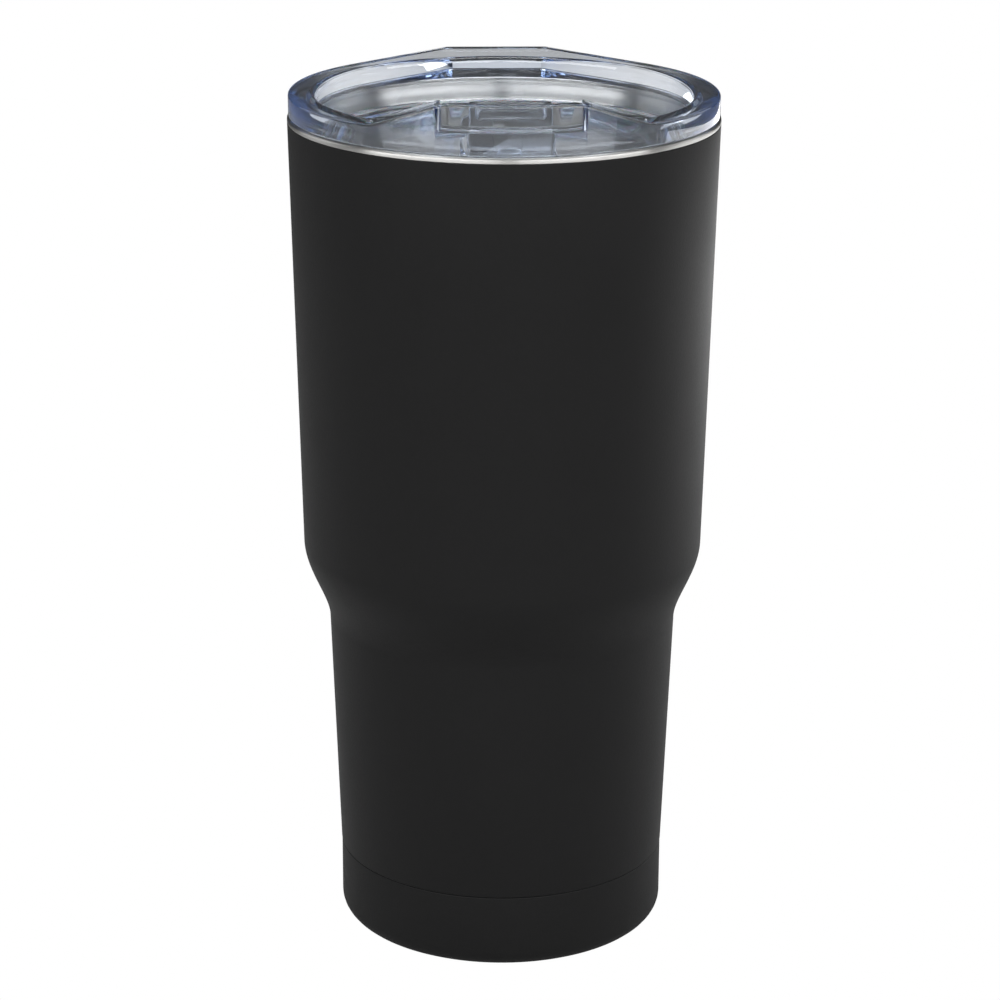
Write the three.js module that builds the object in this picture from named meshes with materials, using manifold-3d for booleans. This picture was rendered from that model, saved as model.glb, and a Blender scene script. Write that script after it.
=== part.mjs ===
// Insulated tumbler with a press-in drinking lid and a slide closure.
//
// Frame: millimetres, +Z up. The origin is the centre of the flat underside of the base, the
// drinking side of the lid faces -Y and its lift tab faces +Y.
//
// A double-walled steel cup (outer shell, base cap, inner liner, and the pieces inside its vacuum
// space) carries a clear lid. The lid's plug seals in the cup's mouth with a silicone gasket, and
// a slider covers the drinking slot in the floor of the lid.

import * as THREE from 'three';
import { mergeVertices } from 'three/addons/utils/BufferGeometryUtils.js';
import Module from 'manifold-3d';

const wasm = await Module();
wasm.setup();

// ---------------------------------------------------------------- driving dimensions, mm

const SEGMENTS = 40; // sides of every turned piece
const GAP = 0.3; // clearance between pieces that touch or slide

// Cup
const RIM_Z = 201.0; // top of the steel rim
const RIM_R = 50.8; // outer radius at the rim
const UPPER_SLOPE = 0.0248; // radius lost per mm of drop, above the step
const STEP_TOP_Z = 96.9;
const STEP_BOTTOM_Z = 77.6;
const STEP_BOTTOM_R = 42.1; // outer radius just under the step
const LOWER_SLOPE = 0.0377; // radius lost per mm of drop, below the step
const SEAM_Z = 18.6; // joint between the shell and the base cap
const SHEET = 0.8; // thickness of the steel sheet
const WALL = 4.4; // outer surface to inner surface, through the vacuum gap
const BASE_R = 39.8; // outer radius of the base cap
const BASE_FILLET = 4.0; // rounded edge under the base
const GROOVE_R = 29.0; // shallow ring pressed into the underside
const GROOVE_HALF_WIDTH = 0.8;
const GROOVE_DEPTH = 0.4;

// Liner
const LINER_FLOOR_Z = 10.0; // inside floor of the cup
const LINER_FILLET = 8.0; // rounded inside corner at the floor
const MOUTH_R = 47.3; // straight seat for the lid's gasket
const MOUTH_BOTTOM_Z = 184.0;
const MOUTH_BLEND = 12.0; // height over which the seat runs into the wall
const LIP_HEIGHT = 1.1; // bare steel edge that shows above the coating
const LIP_ROUND = 0.5;
const LIP_FLARE = 4.5; // height of the flare from the seat to the lip
const LIP_INNER_R = 49.0;

// Inside the vacuum space
const FOIL_BOTTOM_Z = 24.0;
const FOIL_TOP_Z = 168.0;
const FOIL_THICKNESS = 0.4;
const FOIL_CLEARANCE = 0.4; // radial space between the liner and the foil
const PAN_FLOOR_Z = 2.6; // top of the floor of the welded pan that closes the vacuum
const PAN_TOP_Z = 14.0;
const PAN_HUB_R = 9.0; // raised centre around the exhaust hole
const PAN_HUB_RISE = 2.0;
const EXHAUST_R = 1.6;
const BEAD_HEIGHT = 1.4;
const GETTER_R = 5.0;
const GETTER_HEIGHT = 2.0;
const GETTER_X = 20.0;

// Lid
const LID_R = 50.5;
const LID_BOTTOM_Z = RIM_Z + GAP;
const RING_TOP_Z = 206.6;
const RING_INNER_R = 46.2; // inner edge of the flat top of the ring
const RING_ROUND = 0.6;
const RECESS_EDGE_R = 44.2; // foot of the rounded inner edge
const RECESS_R = 43.1; // edge of the recess floor
const FLOOR_TOP_Z = 195.4;
const FLOOR_THICKNESS = 2.0;
const PLUG_R = 46.0;
const PLUG_WALL = 3.0;
const PLUG_BOTTOM_Z = 189.6;
const PLUG_LEAD = 1.0; // chamfer that guides the plug into the mouth
const GASKET_BOTTOM_Z = 191.5;
const GASKET_TOP_Z = 195.5;
const GASKET_SEAT_R = 44.6; // bottom of the groove in the plug
const GASKET_LIP = 1.0; // height of each sealing rib
const GASKET_BODY_R = 46.2;

// Lift tab at the back of the lid
const TAB_END_Y = 59.0;
const TAB_HALF_WIDTH = 12.5;
const TAB_ROOT_ANGLE = Math.PI / 4; // where the shoulders leave the ring, from +X
const TAB_ROOT_R = 48.0;
const TAB_CORNER = 2.0;

// Raised mouthpiece at the front of the lid
const SPOUT_RISE = 6.2;
const SPOUT_FLAT_HALF = 15.6; // half-width of its level top
const SPOUT_FOOT_HALF = 31.5; // half-width where it meets the ring
const SPOUT_INNER_R = 43.4;
const SPOUT_WALL = 2.4; // thin drinking wall in front of the channel
const CHANNEL_FLOOR_Z = 206.2;
const CHANNEL_HALF = 15.7;
const CHANNEL_BACK_Y = -30.0;

// Drinking slot and guide slit in the floor of the lid
const SLOT_HALF = 8.0;
const SLOT_FRONT_Y = -41.4;
const SLOT_BACK_Y = -34.6;
const SLOT_CORNER = 2.0;
const SLIT_HALF = 2.6;
const SLIT_BACK_Y = -11.6;
const SLIT_CORNER = 0.8;

// Slider
const SLIDER_BACK_Y = -9.6;
const SLIDER_HALF = 10.6;
const SLIDER_THICKNESS = 2.6;
const SLIDER_CORNER = 3.0;
const GRIP_HALF = 9.2;
const GRIP_FRONT_Y = -41.6;
const GRIP_BACK_Y = -34.6;
const GRIP_TOP_Z = 210.8;
const GRIP_CORNER = 1.0;
const POCKET_BOTTOM_Z = 206.4;
const POCKET_WALL = 1.4;
const STEM_HALF = SLIT_HALF - GAP;
const STEM_FRONT_Y = -32.4;
const STEM_BACK_Y = -26.4;
const CLIP_THICKNESS = 1.6;
const CLIP_HALF_X = 7.0;
const CLIP_MARGIN_Y = 1.8;

// ---------------------------------------------------------------- colours

const COATING = { color: 0x1b1b1c, roughness: 0.6, metalness: 0.1 };
const STEEL = { color: 0xb9babb, roughness: 0.3, metalness: 1.0 };
const FOIL = { color: 0xc4825a, roughness: 0.35, metalness: 1.0 };
const SOLDER = { color: 0x8d9092, roughness: 0.4, metalness: 0.9 };
const GETTER = { color: 0x55585c, roughness: 0.8, metalness: 0.5 };
const CLEAR = { color: 0xdfe9f2, roughness: 0.05, metalness: 0.0, transparent: true, opacity: 0.4 };
const SILICONE = { color: 0xe6eaec, roughness: 0.5, metalness: 0.0 };

const tumbler = new THREE.Group();

// ---------------------------------------------------------------- shape helpers

/** One named sub-part of the tumbler. */
function addPiece(parent, name, geometry, look) {
  const mesh = new THREE.Mesh(geometry, new THREE.MeshStandardMaterial(look));
  mesh.name = name;
  parent.add(mesh);
  return mesh;
}

/** Solid turned about Z from [radius, height] points that start and end on the axis. */
function turned(points) {
  const outline = points.map(([r, z]) => new THREE.Vector2(r, z));
  if (THREE.ShapeUtils.area(outline) < 0) outline.reverse();
  return new THREE.LatheGeometry(outline, SEGMENTS).rotateX(Math.PI / 2);
}

/** Ring turned about Z from a closed loop of [radius, height] points that stays off the axis. */
function turnedRing(points) {
  const outline = points.map(([r, z]) => new THREE.Vector2(r, z));
  if (THREE.ShapeUtils.area(outline) < 0) outline.reverse();
  outline.push(outline[0].clone());
  return new THREE.LatheGeometry(outline, SEGMENTS).rotateX(Math.PI / 2);
}

/** Plan outline given by a THREE.Shape, extruded from one height to another. */
function raised(shape, bottom, top, curveSegments = 6) {
  const settings = { depth: top - bottom, bevelEnabled: false, curveSegments };
  return new THREE.ExtrudeGeometry(shape, settings).translate(0, 0, bottom);
}

/** Rectangle with rounded corners, as a plan outline. */
function roundedRectangle(x0, x1, y0, y1, corner) {
  const shape = new THREE.Shape();
  const quarter = Math.PI / 2;
  shape.absarc(x1 - corner, y1 - corner, corner, 0, quarter);
  shape.absarc(x0 + corner, y1 - corner, corner, quarter, 2 * quarter);
  shape.absarc(x0 + corner, y0 + corner, corner, 2 * quarter, 3 * quarter);
  shape.absarc(x1 - corner, y0 + corner, corner, 3 * quarter, 4 * quarter);
  return shape;
}

/** Box between two corners. */
function block(x0, x1, y0, y1, z0, z1) {
  const box = new THREE.BoxGeometry(x1 - x0, y1 - y0, z1 - z0);
  return box.translate((x0 + x1) / 2, (y0 + y1) / 2, (z0 + z1) / 2);
}

/** Points on an arc in the profile plane, as [radius, height] pairs. */
function arc(centreR, centreZ, radius, from, to, steps) {
  const points = [];
  for (let i = 0; i <= steps; i += 1) {
    const angle = from + ((to - from) * i) / steps;
    points.push([centreR + radius * Math.cos(angle), centreZ + radius * Math.sin(angle)]);
  }
  return points;
}

/** Closed three.js geometry as a manifold solid. */
function solidOf(geometry) {
  const bare = geometry.clone();
  bare.deleteAttribute('normal');
  bare.deleteAttribute('uv');
  const merged = mergeVertices(bare, 1e-4);
  const corners = Array.from(merged.index.array);
  const triangles = [];
  for (let i = 0; i < corners.length; i += 3) {
    const [a, b, c] = corners.slice(i, i + 3);
    if (a !== b && b !== c && c !== a) triangles.push(a, b, c);
  }
  return new wasm.Manifold(new wasm.Mesh({
    numProp: 3,
    vertProperties: merged.attributes.position.array,
    triVerts: Uint32Array.from(triangles),
  }));
}

/** Manifold solid as a three.js geometry. */
function geometryOf(solid) {
  const mesh = solid.getMesh();
  const geometry = new THREE.BufferGeometry();
  geometry.setAttribute('position', new THREE.BufferAttribute(mesh.vertProperties, 3));
  geometry.setIndex(new THREE.BufferAttribute(mesh.triVerts, 1));
  geometry.computeVertexNormals();
  return geometry;
}

// ---------------------------------------------------------------- the cup's profile

const STEP_TOP_R = RIM_R - UPPER_SLOPE * (RIM_Z - STEP_TOP_Z);

/** Outer radius of the shell at a height, with a smooth S-shaped step at mid-height. */
function shellRadius(z) {
  if (z >= STEP_TOP_Z) return RIM_R - UPPER_SLOPE * (RIM_Z - z);
  if (z <= STEP_BOTTOM_Z) return STEP_BOTTOM_R - LOWER_SLOPE * (STEP_BOTTOM_Z - z);
  const height = STEP_TOP_Z - STEP_BOTTOM_Z;
  const t = (z - STEP_BOTTOM_Z) / height;
  const rise = t * t * (3 - 2 * t);
  const bottomSlope = LOWER_SLOPE * height * t * (1 - t) * (1 - t);
  const topSlope = UPPER_SLOPE * height * t * t * (t - 1);
  return STEP_BOTTOM_R + (STEP_TOP_R - STEP_BOTTOM_R) * rise + bottomSlope + topSlope;
}

/** Heights at which a wall between two levels needs a corner, rising. */
function wallHeights(bottom, top) {
  const stepPoints = 6;
  const heights = [bottom];
  for (let i = 0; i <= stepPoints; i += 1) {
    heights.push(STEP_BOTTOM_Z + ((STEP_TOP_Z - STEP_BOTTOM_Z) * i) / stepPoints);
  }
  heights.push(top);
  return heights;
}

/** Points of a wall that runs parallel to the shell, a set distance inside its outer surface. */
function wallPoints(bottom, top, inset) {
  return wallHeights(bottom, top).map((z) => [shellRadius(z) - inset, z]);
}

// ---------------------------------------------------------------- the cup's pieces

/** Coated outer wall, from the seam up to the bare steel lip. */
function outerShell() {
  const bottom = SEAM_Z + GAP / 2;
  const top = RIM_Z - LIP_HEIGHT - GAP;
  return turnedRing([
    ...wallPoints(bottom, top, 0),
    ...wallPoints(bottom, top, SHEET).reverse(),
  ]);
}

/** Coated cup that closes the bottom, with a shallow ring pressed into its underside. */
function baseCap() {
  const top = SEAM_Z - GAP / 2;
  const innerFillet = BASE_FILLET - SHEET;
  const innerR = BASE_R - SHEET;
  return turned([
    [0, 0],
    [GROOVE_R - GROOVE_HALF_WIDTH, 0],
    [GROOVE_R, GROOVE_DEPTH],
    [GROOVE_R + GROOVE_HALF_WIDTH, 0],
    ...arc(BASE_R - BASE_FILLET, BASE_FILLET, BASE_FILLET, -Math.PI / 2, 0, 4),
    [BASE_R, top],
    [innerR, top],
    ...arc(innerR - innerFillet, SHEET + innerFillet, innerFillet, 0, -Math.PI / 2, 3),
    [0, SHEET],
  ]);
}

const LINER_TOP_Z = MOUTH_BOTTOM_Z - MOUTH_BLEND; // where the wall starts to run into the seat

/** Wall of the liner from the floor's rounded corner to the rim, shifted outward by a thickness. */
function linerWall(thickness) {
  const floor = LINER_FLOOR_Z - thickness;
  const fillet = LINER_FILLET + thickness;
  const inset = WALL - thickness;
  const cornerZ = LINER_FLOOR_Z + LINER_FILLET;
  const cornerR = shellRadius(cornerZ) - inset;
  return [
    [0, floor],
    ...arc(cornerR - fillet, cornerZ, fillet, -Math.PI / 2, 0, 4),
    ...wallPoints(cornerZ, LINER_TOP_Z, inset).slice(1),
    [MOUTH_R + thickness, MOUTH_BOTTOM_Z],
  ];
}

/** Steel inner cup with the rolled lip that is welded over the top of the shell. */
function innerLiner() {
  const flareBottom = RIM_Z - LIP_FLARE;
  const lipBottom = RIM_Z - LIP_HEIGHT;
  return turned([
    ...linerWall(0),
    [MOUTH_R, flareBottom],
    [(MOUTH_R + LIP_INNER_R) / 2 - 0.2, flareBottom + LIP_FLARE * 0.6],
    [LIP_INNER_R, RIM_Z - LIP_ROUND],
    [LIP_INNER_R + LIP_ROUND, RIM_Z],
    [RIM_R - LIP_ROUND, RIM_Z],
    [RIM_R, RIM_Z - LIP_ROUND],
    [RIM_R, lipBottom],
    [MOUTH_R + SHEET, lipBottom],
    ...linerWall(SHEET).reverse(),
  ]);
}

/** Reflecting foil sleeve that stands around the liner inside the vacuum gap. */
function foilWrap() {
  const inner = WALL - SHEET - FOIL_CLEARANCE;
  return turnedRing([
    ...wallPoints(FOIL_BOTTOM_Z, FOIL_TOP_Z, inner - FOIL_THICKNESS),
    ...wallPoints(FOIL_BOTTOM_Z, FOIL_TOP_Z, inner).reverse(),
  ]);
}

/** Welded pan that closes the vacuum space under the liner, with its exhaust hole. */
function vacuumPan() {
  const outer = BASE_R - SHEET - GAP;
  const under = PAN_FLOOR_Z - SHEET;
  return turnedRing([
    [EXHAUST_R, under + PAN_HUB_RISE],
    [PAN_HUB_R, under + PAN_HUB_RISE],
    [PAN_HUB_R + PAN_HUB_RISE, under],
    ...arc(outer - 3, under + 3, 3, -Math.PI / 2, 0, 3),
    [outer, PAN_TOP_Z],
    [outer - SHEET, PAN_TOP_Z],
    [outer - SHEET, PAN_FLOOR_Z + 2],
    [outer - SHEET - 2, PAN_FLOOR_Z],
    [PAN_HUB_R + PAN_HUB_RISE, PAN_FLOOR_Z],
    [PAN_HUB_R, PAN_FLOOR_Z + PAN_HUB_RISE],
    [EXHAUST_R, PAN_FLOOR_Z + PAN_HUB_RISE],
  ]);
}

/** Solder bead that seals the exhaust hole after the air is drawn out. */
function sealBead() {
  const middle = PAN_FLOOR_Z - SHEET / 2 + PAN_HUB_RISE;
  const radius = EXHAUST_R - GAP;
  return turned([
    [0, middle - BEAD_HEIGHT / 2],
    [radius * 0.7, middle - BEAD_HEIGHT / 2],
    [radius, middle],
    [radius * 0.7, middle + BEAD_HEIGHT / 2],
    [0, middle + BEAD_HEIGHT / 2],
  ]);
}

/** Pellet that soaks up the last gas in the vacuum space. */
function getterPellet() {
  const pellet = new THREE.CylinderGeometry(GETTER_R, GETTER_R, GETTER_HEIGHT, SEGMENTS / 2);
  return pellet.rotateX(Math.PI / 2);
}

// ---------------------------------------------------------------- the lid's pieces

/** Turned body of the lid: flange ring, recess, floor and plug with its gasket groove. */
function lidTurning() {
  const plugInner = PLUG_R - PLUG_WALL;
  const floorBottom = FLOOR_TOP_Z - FLOOR_THICKNESS;
  return turned([
    [0, floorBottom],
    [plugInner, floorBottom],
    [plugInner, PLUG_BOTTOM_Z],
    [PLUG_R - PLUG_LEAD, PLUG_BOTTOM_Z],
    [PLUG_R, PLUG_BOTTOM_Z + PLUG_LEAD],
    [PLUG_R, GASKET_BOTTOM_Z],
    [GASKET_SEAT_R, GASKET_BOTTOM_Z],
    [GASKET_SEAT_R, GASKET_TOP_Z],
    [PLUG_R, GASKET_TOP_Z],
    [PLUG_R, LID_BOTTOM_Z],
    [LID_R - RING_ROUND, LID_BOTTOM_Z],
    [LID_R, LID_BOTTOM_Z + RING_ROUND],
    ...arc(LID_R - RING_ROUND, RING_TOP_Z - RING_ROUND, RING_ROUND, 0, Math.PI / 2, 2),
    [RING_INNER_R, RING_TOP_Z],
    [RECESS_EDGE_R + 0.7, RING_TOP_Z - 0.7],
    [RECESS_EDGE_R, RING_TOP_Z - 2.0],
    [RECESS_R, FLOOR_TOP_Z],
    [0, FLOOR_TOP_Z],
  ]);
}

/** Flat lift tab that reaches out behind the ring. */
function liftTab() {
  const root = LID_R - 0.2;
  const rootX = root * Math.cos(TAB_ROOT_ANGLE);
  const rootY = root * Math.sin(TAB_ROOT_ANGLE);
  const shoulder = new THREE.Vector2(TAB_HALF_WIDTH - rootX, TAB_END_Y - rootY).normalize();
  const shape = new THREE.Shape();
  shape.moveTo(rootX, rootY);
  shape.lineTo(TAB_HALF_WIDTH - shoulder.x * TAB_CORNER, TAB_END_Y - shoulder.y * TAB_CORNER);
  shape.quadraticCurveTo(TAB_HALF_WIDTH, TAB_END_Y, TAB_HALF_WIDTH - TAB_CORNER, TAB_END_Y);
  shape.lineTo(-TAB_HALF_WIDTH + TAB_CORNER, TAB_END_Y);
  shape.quadraticCurveTo(
    -TAB_HALF_WIDTH,
    TAB_END_Y,
    -TAB_HALF_WIDTH + shoulder.x * TAB_CORNER,
    TAB_END_Y - shoulder.y * TAB_CORNER,
  );
  shape.lineTo(-rootX, rootY);
  shape.absarc(0, 0, TAB_ROOT_R, Math.PI - TAB_ROOT_ANGLE, TAB_ROOT_ANGLE, true);
  return raised(shape, LID_BOTTOM_Z, RING_TOP_Z, SEGMENTS / 4);
}

/** Raised crescent over the front of the ring, level in the middle and ramped at its ends. */
function spoutCrescent() {
  const ring = turnedRing([
    [SPOUT_INNER_R, LID_BOTTOM_Z + RING_ROUND],
    [LID_R, LID_BOTTOM_Z + RING_ROUND],
    [LID_R, RING_TOP_Z + SPOUT_RISE - RING_ROUND],
    [LID_R - RING_ROUND, RING_TOP_Z + SPOUT_RISE],
    [SPOUT_INNER_R + RING_ROUND, RING_TOP_Z + SPOUT_RISE],
    [SPOUT_INNER_R, RING_TOP_Z + SPOUT_RISE - RING_ROUND],
  ]);
  const front = new THREE.Shape();
  front.moveTo(-SPOUT_FOOT_HALF, RING_TOP_Z);
  front.lineTo(-SPOUT_FOOT_HALF, FLOOR_TOP_Z);
  front.lineTo(SPOUT_FOOT_HALF, FLOOR_TOP_Z);
  front.lineTo(SPOUT_FOOT_HALF, RING_TOP_Z);
  front.lineTo(SPOUT_FLAT_HALF, RING_TOP_Z + SPOUT_RISE);
  front.lineTo(-SPOUT_FLAT_HALF, RING_TOP_Z + SPOUT_RISE);
  const depth = LID_R;
  const ramped = new THREE.ExtrudeGeometry(front, { depth, bevelEnabled: false });
  ramped.rotateX(Math.PI / 2);
  return solidOf(ring).intersect(solidOf(ramped));
}

/** Space of the channel behind the drinking wall, which the slider fills and the drink crosses. */
function channelSpace() {
  const wallR = LID_R - SPOUT_WALL;
  const top = RING_TOP_Z + SPOUT_RISE + 1;
  const bottom = CHANNEL_FLOOR_Z;
  const disc = turned([[0, bottom], [wallR, bottom], [wallR, top], [0, top]]);
  const box = block(-CHANNEL_HALF, CHANNEL_HALF, -LID_R, CHANNEL_BACK_Y, bottom, top);
  return solidOf(disc).intersect(solidOf(box));
}

/** Through-cut of the drinking slot with the narrow guide slit behind it. */
function floorCut() {
  const bottom = FLOOR_TOP_Z - FLOOR_THICKNESS - 1;
  const top = FLOOR_TOP_Z + 1;
  const slot = roundedRectangle(-SLOT_HALF, SLOT_HALF, SLOT_FRONT_Y, SLOT_BACK_Y, SLOT_CORNER);
  const front = SLOT_BACK_Y - SLOT_CORNER;
  const slit = roundedRectangle(-SLIT_HALF, SLIT_HALF, front, SLIT_BACK_Y, SLIT_CORNER);
  return solidOf(raised(slot, bottom, top)).add(solidOf(raised(slit, bottom, top)));
}

/** Clear lid in one piece: ring, lift tab, mouthpiece, recess floor and plug. */
function lidCover() {
  const body = solidOf(lidTurning()).add(solidOf(liftTab())).add(spoutCrescent());
  return geometryOf(body.subtract(channelSpace()).subtract(floorCut()));
}

/** Silicone ring with two ribs that press on the mouth's seat. */
function lidGasket() {
  const inner = GASKET_SEAT_R + GAP;
  const outer = MOUTH_R - GAP;
  const bottom = GASKET_BOTTOM_Z + GAP;
  const top = GASKET_TOP_Z - GAP;
  return turnedRing([
    [inner, bottom],
    [GASKET_BODY_R, bottom],
    [outer, bottom + GASKET_LIP / 2],
    [GASKET_BODY_R, bottom + GASKET_LIP],
    [GASKET_BODY_R, top - GASKET_LIP],
    [outer, top - GASKET_LIP / 2],
    [GASKET_BODY_R, top],
    [inner, top],
  ]);
}

/** Slide closure: plate, thumb grip and the stem that runs in the guide slit. */
function sliderPiece() {
  const bottom = FLOOR_TOP_Z + GAP;
  const top = bottom + SLIDER_THICKNESS;
  const frontR = RECESS_R - GAP;
  const plan = roundedRectangle(-SLIDER_HALF, SLIDER_HALF, -LID_R, SLIDER_BACK_Y, SLIDER_CORNER);
  const disc = turned([[0, bottom], [frontR, bottom], [frontR, top], [0, top]]);
  const plate = solidOf(raised(plan, bottom, top)).intersect(solidOf(disc));
  const gripPlan = roundedRectangle(-GRIP_HALF, GRIP_HALF, GRIP_FRONT_Y, GRIP_BACK_Y, GRIP_CORNER);
  const grip = solidOf(raised(gripPlan, top - 0.5, GRIP_TOP_Z));
  const pocket = block(
    -GRIP_HALF + POCKET_WALL,
    GRIP_HALF - POCKET_WALL,
    GRIP_FRONT_Y + POCKET_WALL,
    GRIP_BACK_Y - POCKET_WALL,
    POCKET_BOTTOM_Z,
    GRIP_TOP_Z + 1,
  );
  const stemBottom = FLOOR_TOP_Z - FLOOR_THICKNESS - GAP - CLIP_THICKNESS;
  const stem = solidOf(
    block(-STEM_HALF, STEM_HALF, STEM_FRONT_Y, STEM_BACK_Y, stemBottom, bottom + 0.5),
  );
  return geometryOf(plate.add(grip).add(stem).subtract(solidOf(pocket)));
}

/** Clip pushed onto the stem from below, which keeps the slider on the lid. */
function sliderClip() {
  const top = FLOOR_TOP_Z - FLOOR_THICKNESS - GAP;
  const front = STEM_FRONT_Y - CLIP_MARGIN_Y;
  const back = STEM_BACK_Y + CLIP_MARGIN_Y;
  const bottom = top - CLIP_THICKNESS;
  const plan = roundedRectangle(-CLIP_HALF_X, CLIP_HALF_X, front, back, SLIDER_CORNER);
  const eye = block(
    -STEM_HALF - GAP,
    STEM_HALF + GAP,
    STEM_FRONT_Y - GAP,
    STEM_BACK_Y + GAP,
    bottom - 1,
    top + 1,
  );
  return geometryOf(solidOf(raised(plan, bottom, top)).subtract(solidOf(eye)));
}

// ---------------------------------------------------------------- assembly

const cup = new THREE.Group();
tumbler.add(cup);
addPiece(cup, 'outer_shell', outerShell(), COATING);
addPiece(cup, 'base_cap', baseCap(), COATING);
addPiece(cup, 'inner_liner', innerLiner(), STEEL);
addPiece(cup, 'foil_wrap', foilWrap(), FOIL);
addPiece(cup, 'vacuum_pan', vacuumPan(), STEEL);
addPiece(cup, 'seal_bead', sealBead(), SOLDER);
const getter = addPiece(cup, 'getter_pellet', getterPellet(), GETTER);
getter.position.set(GETTER_X, 0, PAN_FLOOR_Z + GAP + GETTER_HEIGHT / 2);

const lid = new THREE.Group();
tumbler.add(lid);
addPiece(lid, 'lid_cover', lidCover(), CLEAR);
addPiece(lid, 'lid_gasket', lidGasket(), SILICONE);

const closure = new THREE.Group();
lid.add(closure);
addPiece(closure, 'slider', sliderPiece(), CLEAR);
addPiece(closure, 'slider_clip', sliderClip(), CLEAR);

export default tumbler;
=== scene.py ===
"""Looks of the insulated tumbler: a powder-coated double-walled steel cup with a clear slide lid.

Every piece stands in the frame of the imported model, in metres, with +Z up and the drinking side
of the lid towards -Y. Sizes are given in millimetres and turned into metres where meshes are made.
"""

from __future__ import annotations

import logging
import math
from collections.abc import Callable, Iterable, Sequence
from dataclasses import dataclass, field
from enum import Enum
from itertools import pairwise

import bmesh
import bpy
from mathutils import Matrix, Vector


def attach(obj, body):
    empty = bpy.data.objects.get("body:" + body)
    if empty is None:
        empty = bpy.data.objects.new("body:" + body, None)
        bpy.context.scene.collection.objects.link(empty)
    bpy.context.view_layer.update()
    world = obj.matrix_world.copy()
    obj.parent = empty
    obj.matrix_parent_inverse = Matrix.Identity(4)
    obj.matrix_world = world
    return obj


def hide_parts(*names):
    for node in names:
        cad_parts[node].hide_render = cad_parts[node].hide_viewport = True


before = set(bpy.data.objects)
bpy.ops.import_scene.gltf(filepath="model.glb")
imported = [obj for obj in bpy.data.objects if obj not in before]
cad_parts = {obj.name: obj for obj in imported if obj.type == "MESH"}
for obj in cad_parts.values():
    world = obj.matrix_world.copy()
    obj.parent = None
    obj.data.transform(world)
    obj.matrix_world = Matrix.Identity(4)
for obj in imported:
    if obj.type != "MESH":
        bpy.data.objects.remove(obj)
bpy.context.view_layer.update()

MM = 0.001  # a millimetre in metres
SIDES = 240  # sides of every turned piece
POLE_R = 0.001  # radius in millimetres that stands for the axis while a profile is turned
MERGE = 0.004  # points closer than this many millimetres become one
SMOOTH_ANGLE = math.radians(32)
MIX_FIRST, MIX_SECOND, MIX_RESULT = 6, 7, 2  # the Mix node's colour sockets

log = logging.getLogger("tumbler")


class Body(Enum):
    """The rigid bodies that pieces ride on."""

    CUP = "cup"
    GASKET = "gasket"
    LID = "lid"
    SLIDER = "slider"


class Slot(Enum):
    """Names for the material slots."""

    COATING = "coating"
    STEEL = "steel"
    FOIL = "foil"
    SOLDER = "solder"
    GETTER = "getter"
    CLEAR = "clear_plastic"
    SILICONE = "silicone"


# ------------------------------------------------------------------------------ shader writing


class Value:
    """A shader socket that takes part in Python arithmetic, each operator adding a Math node."""

    def __init__(self, tree: bpy.types.NodeTree, socket: bpy.types.NodeSocket) -> None:
        """Wrap one output socket of a node tree."""
        self.tree = tree
        self.socket = socket

    def _math(self, operation: str, first: object, second: object) -> Value:
        """Add a Math node.

        Args:
            operation: The Math node's operation.
            first: A Value or a number.
            second: A Value or a number.

        Returns:
            The node's result.
        """
        node = self.tree.nodes.new("ShaderNodeMath")
        node.operation = operation
        for place, term in enumerate((first, second)):
            if isinstance(term, Value):
                self.tree.links.new(term.socket, node.inputs[place])
            else:
                node.inputs[place].default_value = float(term)
        return Value(self.tree, node.outputs[0])

    def __add__(self, other: object) -> Value:
        """Sum."""
        return self._math("ADD", self, other)

    def __radd__(self, other: object) -> Value:
        """Reflected sum."""
        return self._math("ADD", other, self)

    def __mul__(self, other: object) -> Value:
        """Product."""
        return self._math("MULTIPLY", self, other)

    def __rmul__(self, other: object) -> Value:
        """Reflected product."""
        return self._math("MULTIPLY", other, self)

    def __pow__(self, other: object) -> Value:
        """Power."""
        return self._math("POWER", self, other)


class NodeBench:
    """A node tree and the way that nodes are added to it."""

    def __init__(self, tree: bpy.types.NodeTree) -> None:
        """Work on this tree."""
        self.tree = tree

    def feed(self, socket: bpy.types.NodeSocket, term: object) -> None:
        """Link a Value or a socket to an input socket, or set its plain value.

        Args:
            socket: The input socket.
            term: What it takes.
        """
        if isinstance(term, Value):
            self.tree.links.new(term.socket, socket)
        elif isinstance(term, bpy.types.NodeSocket):
            self.tree.links.new(term, socket)
        else:
            socket.default_value = term

    def node(
        self,
        kind: str,
        settings: dict[str, object] | None = None,
        inputs: dict[str | int, object] | None = None,
    ) -> bpy.types.Node:
        """Add any node.

        Args:
            kind: The node's type.
            settings: The node's own settings, set first.
            inputs: Values or links for its sockets, by socket name or number.

        Returns:
            The new node.
        """
        node = self.tree.nodes.new(kind)
        for key, setting in (settings or {}).items():
            setattr(node, key, setting)
        for key, term in (inputs or {}).items():
            self.feed(node.inputs[key], term)
        return node


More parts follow.
